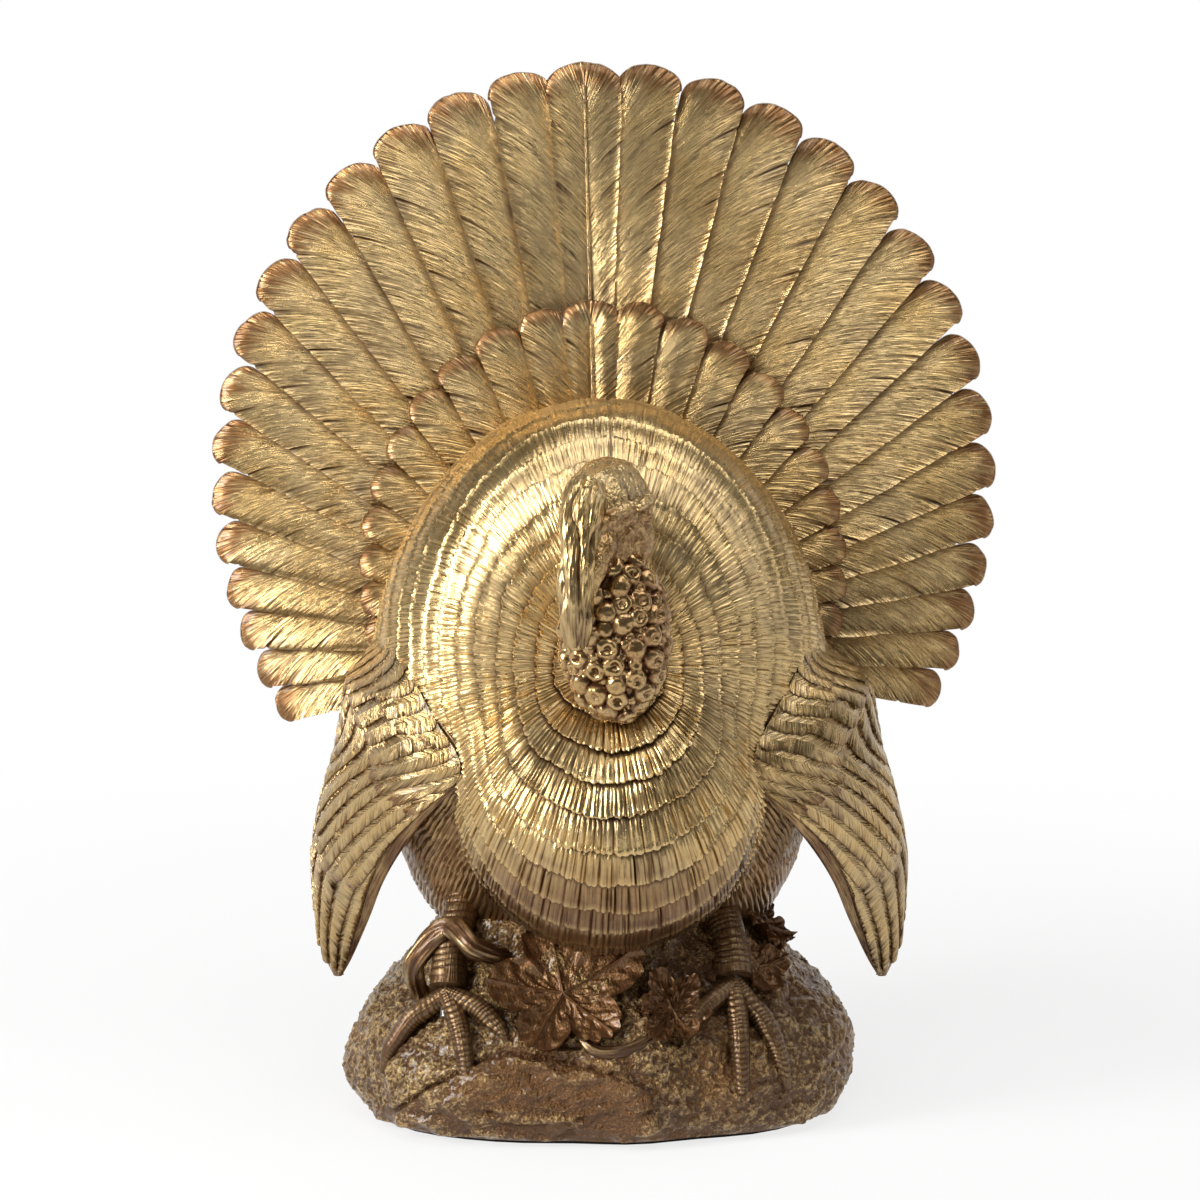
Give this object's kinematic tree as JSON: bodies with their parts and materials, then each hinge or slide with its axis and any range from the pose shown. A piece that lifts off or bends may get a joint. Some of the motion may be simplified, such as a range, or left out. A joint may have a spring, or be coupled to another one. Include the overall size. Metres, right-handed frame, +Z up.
{
  "type": "turkey figurine",
  "caption": "Free-standing cast figurine of a strutting turkey with a fanned tail and drooping wings, on a rock base with leaves and vines.",
  "frame": {"origin": "middle of the felt under the rock base, on the floor", "axes": "+Z up, the bird faces -Y, +X is to the right of a viewer who looks at its front"},
  "size_m": [0.311, 0.1973, 0.4005],
  "materials": {
    "gilt": "cast resin with worn gold leaf and a thin brown glaze in the recesses",
    "gilt_brown": "cast resin with gold leaf rubbed back to a red-brown ground",
    "rock_gilt": "gritty cast resin, brown with flecks of gold leaf",
    "felt": "dark felt",
    "steel": "plain steel rod"
  },
  "bodies": {
    "root": {"body": "gilt", "felt_sheet": "felt", "head": "gilt", "leaf_foot": "gilt_brown", "leaf_large": "gilt_brown", "leaf_side": "gilt_brown", "leaf_small": "gilt_brown", "leg_left": "gilt_brown", "leg_pin_left": "steel", "leg_pin_right": "steel", "leg_right": "gilt_brown", "neck_pin": "steel", "rock_base": "rock_gilt", "rump": "gilt", "rump_pin_left": "steel", "rump_pin_right": "steel", "snood": "gilt", "tail_coverts": "gilt", "tail_fan": "gilt", "tail_pin_left": "steel", "tail_pin_right": "steel", "vine_arch": "gilt_brown", "vine_tendril": "gilt_brown", "wattle": "gilt_brown", "wing_left": "gilt", "wing_pin_left": "steel", "wing_pin_right": "steel", "wing_right": "gilt"}
  },
  "joints": []
}
